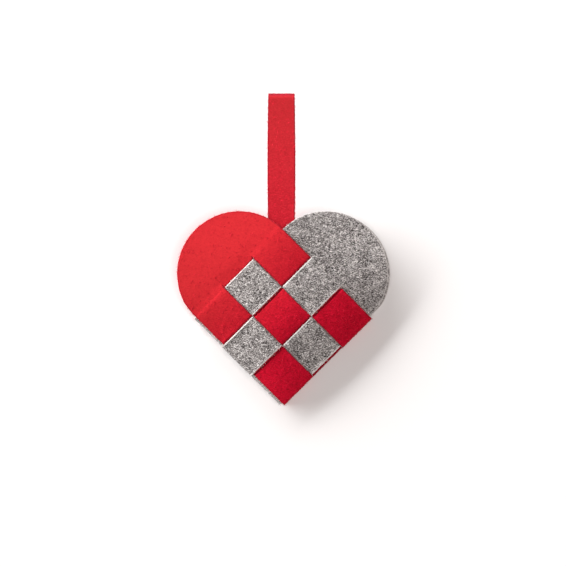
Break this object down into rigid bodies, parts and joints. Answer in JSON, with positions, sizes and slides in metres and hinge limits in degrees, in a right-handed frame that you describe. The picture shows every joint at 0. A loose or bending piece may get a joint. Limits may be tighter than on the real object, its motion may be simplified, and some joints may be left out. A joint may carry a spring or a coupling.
{
  "type": "woven felt heart ornament",
  "caption": "Heart-shaped pocket woven from slit and folded felt bands with round ends, in red and grey melange, hung by a folded red felt strap from its notch.",
  "frame": {"origin": "middle of the box around the part, on the plane that its flat back lies on", "axes": "+Z out of the heart's front, +Y from the heart's point to the fold of the strap, +X to the right seen from the front"},
  "size_m": [0.1282, 0.1907, 0.0141],
  "materials": {
    "red_felt": "matte pressed felt, dense and slightly fuzzy",
    "grey_melange_felt": "matte pressed melange felt of light and dark grey fibres",
    "strap_felt": "matte pressed felt, dense and slightly fuzzy"
  },
  "bodies": {
    "root": {"red_half": "red_felt", "grey_half": "grey_melange_felt", "hanging_strap": "strap_felt"}
  },
  "joints": []
}
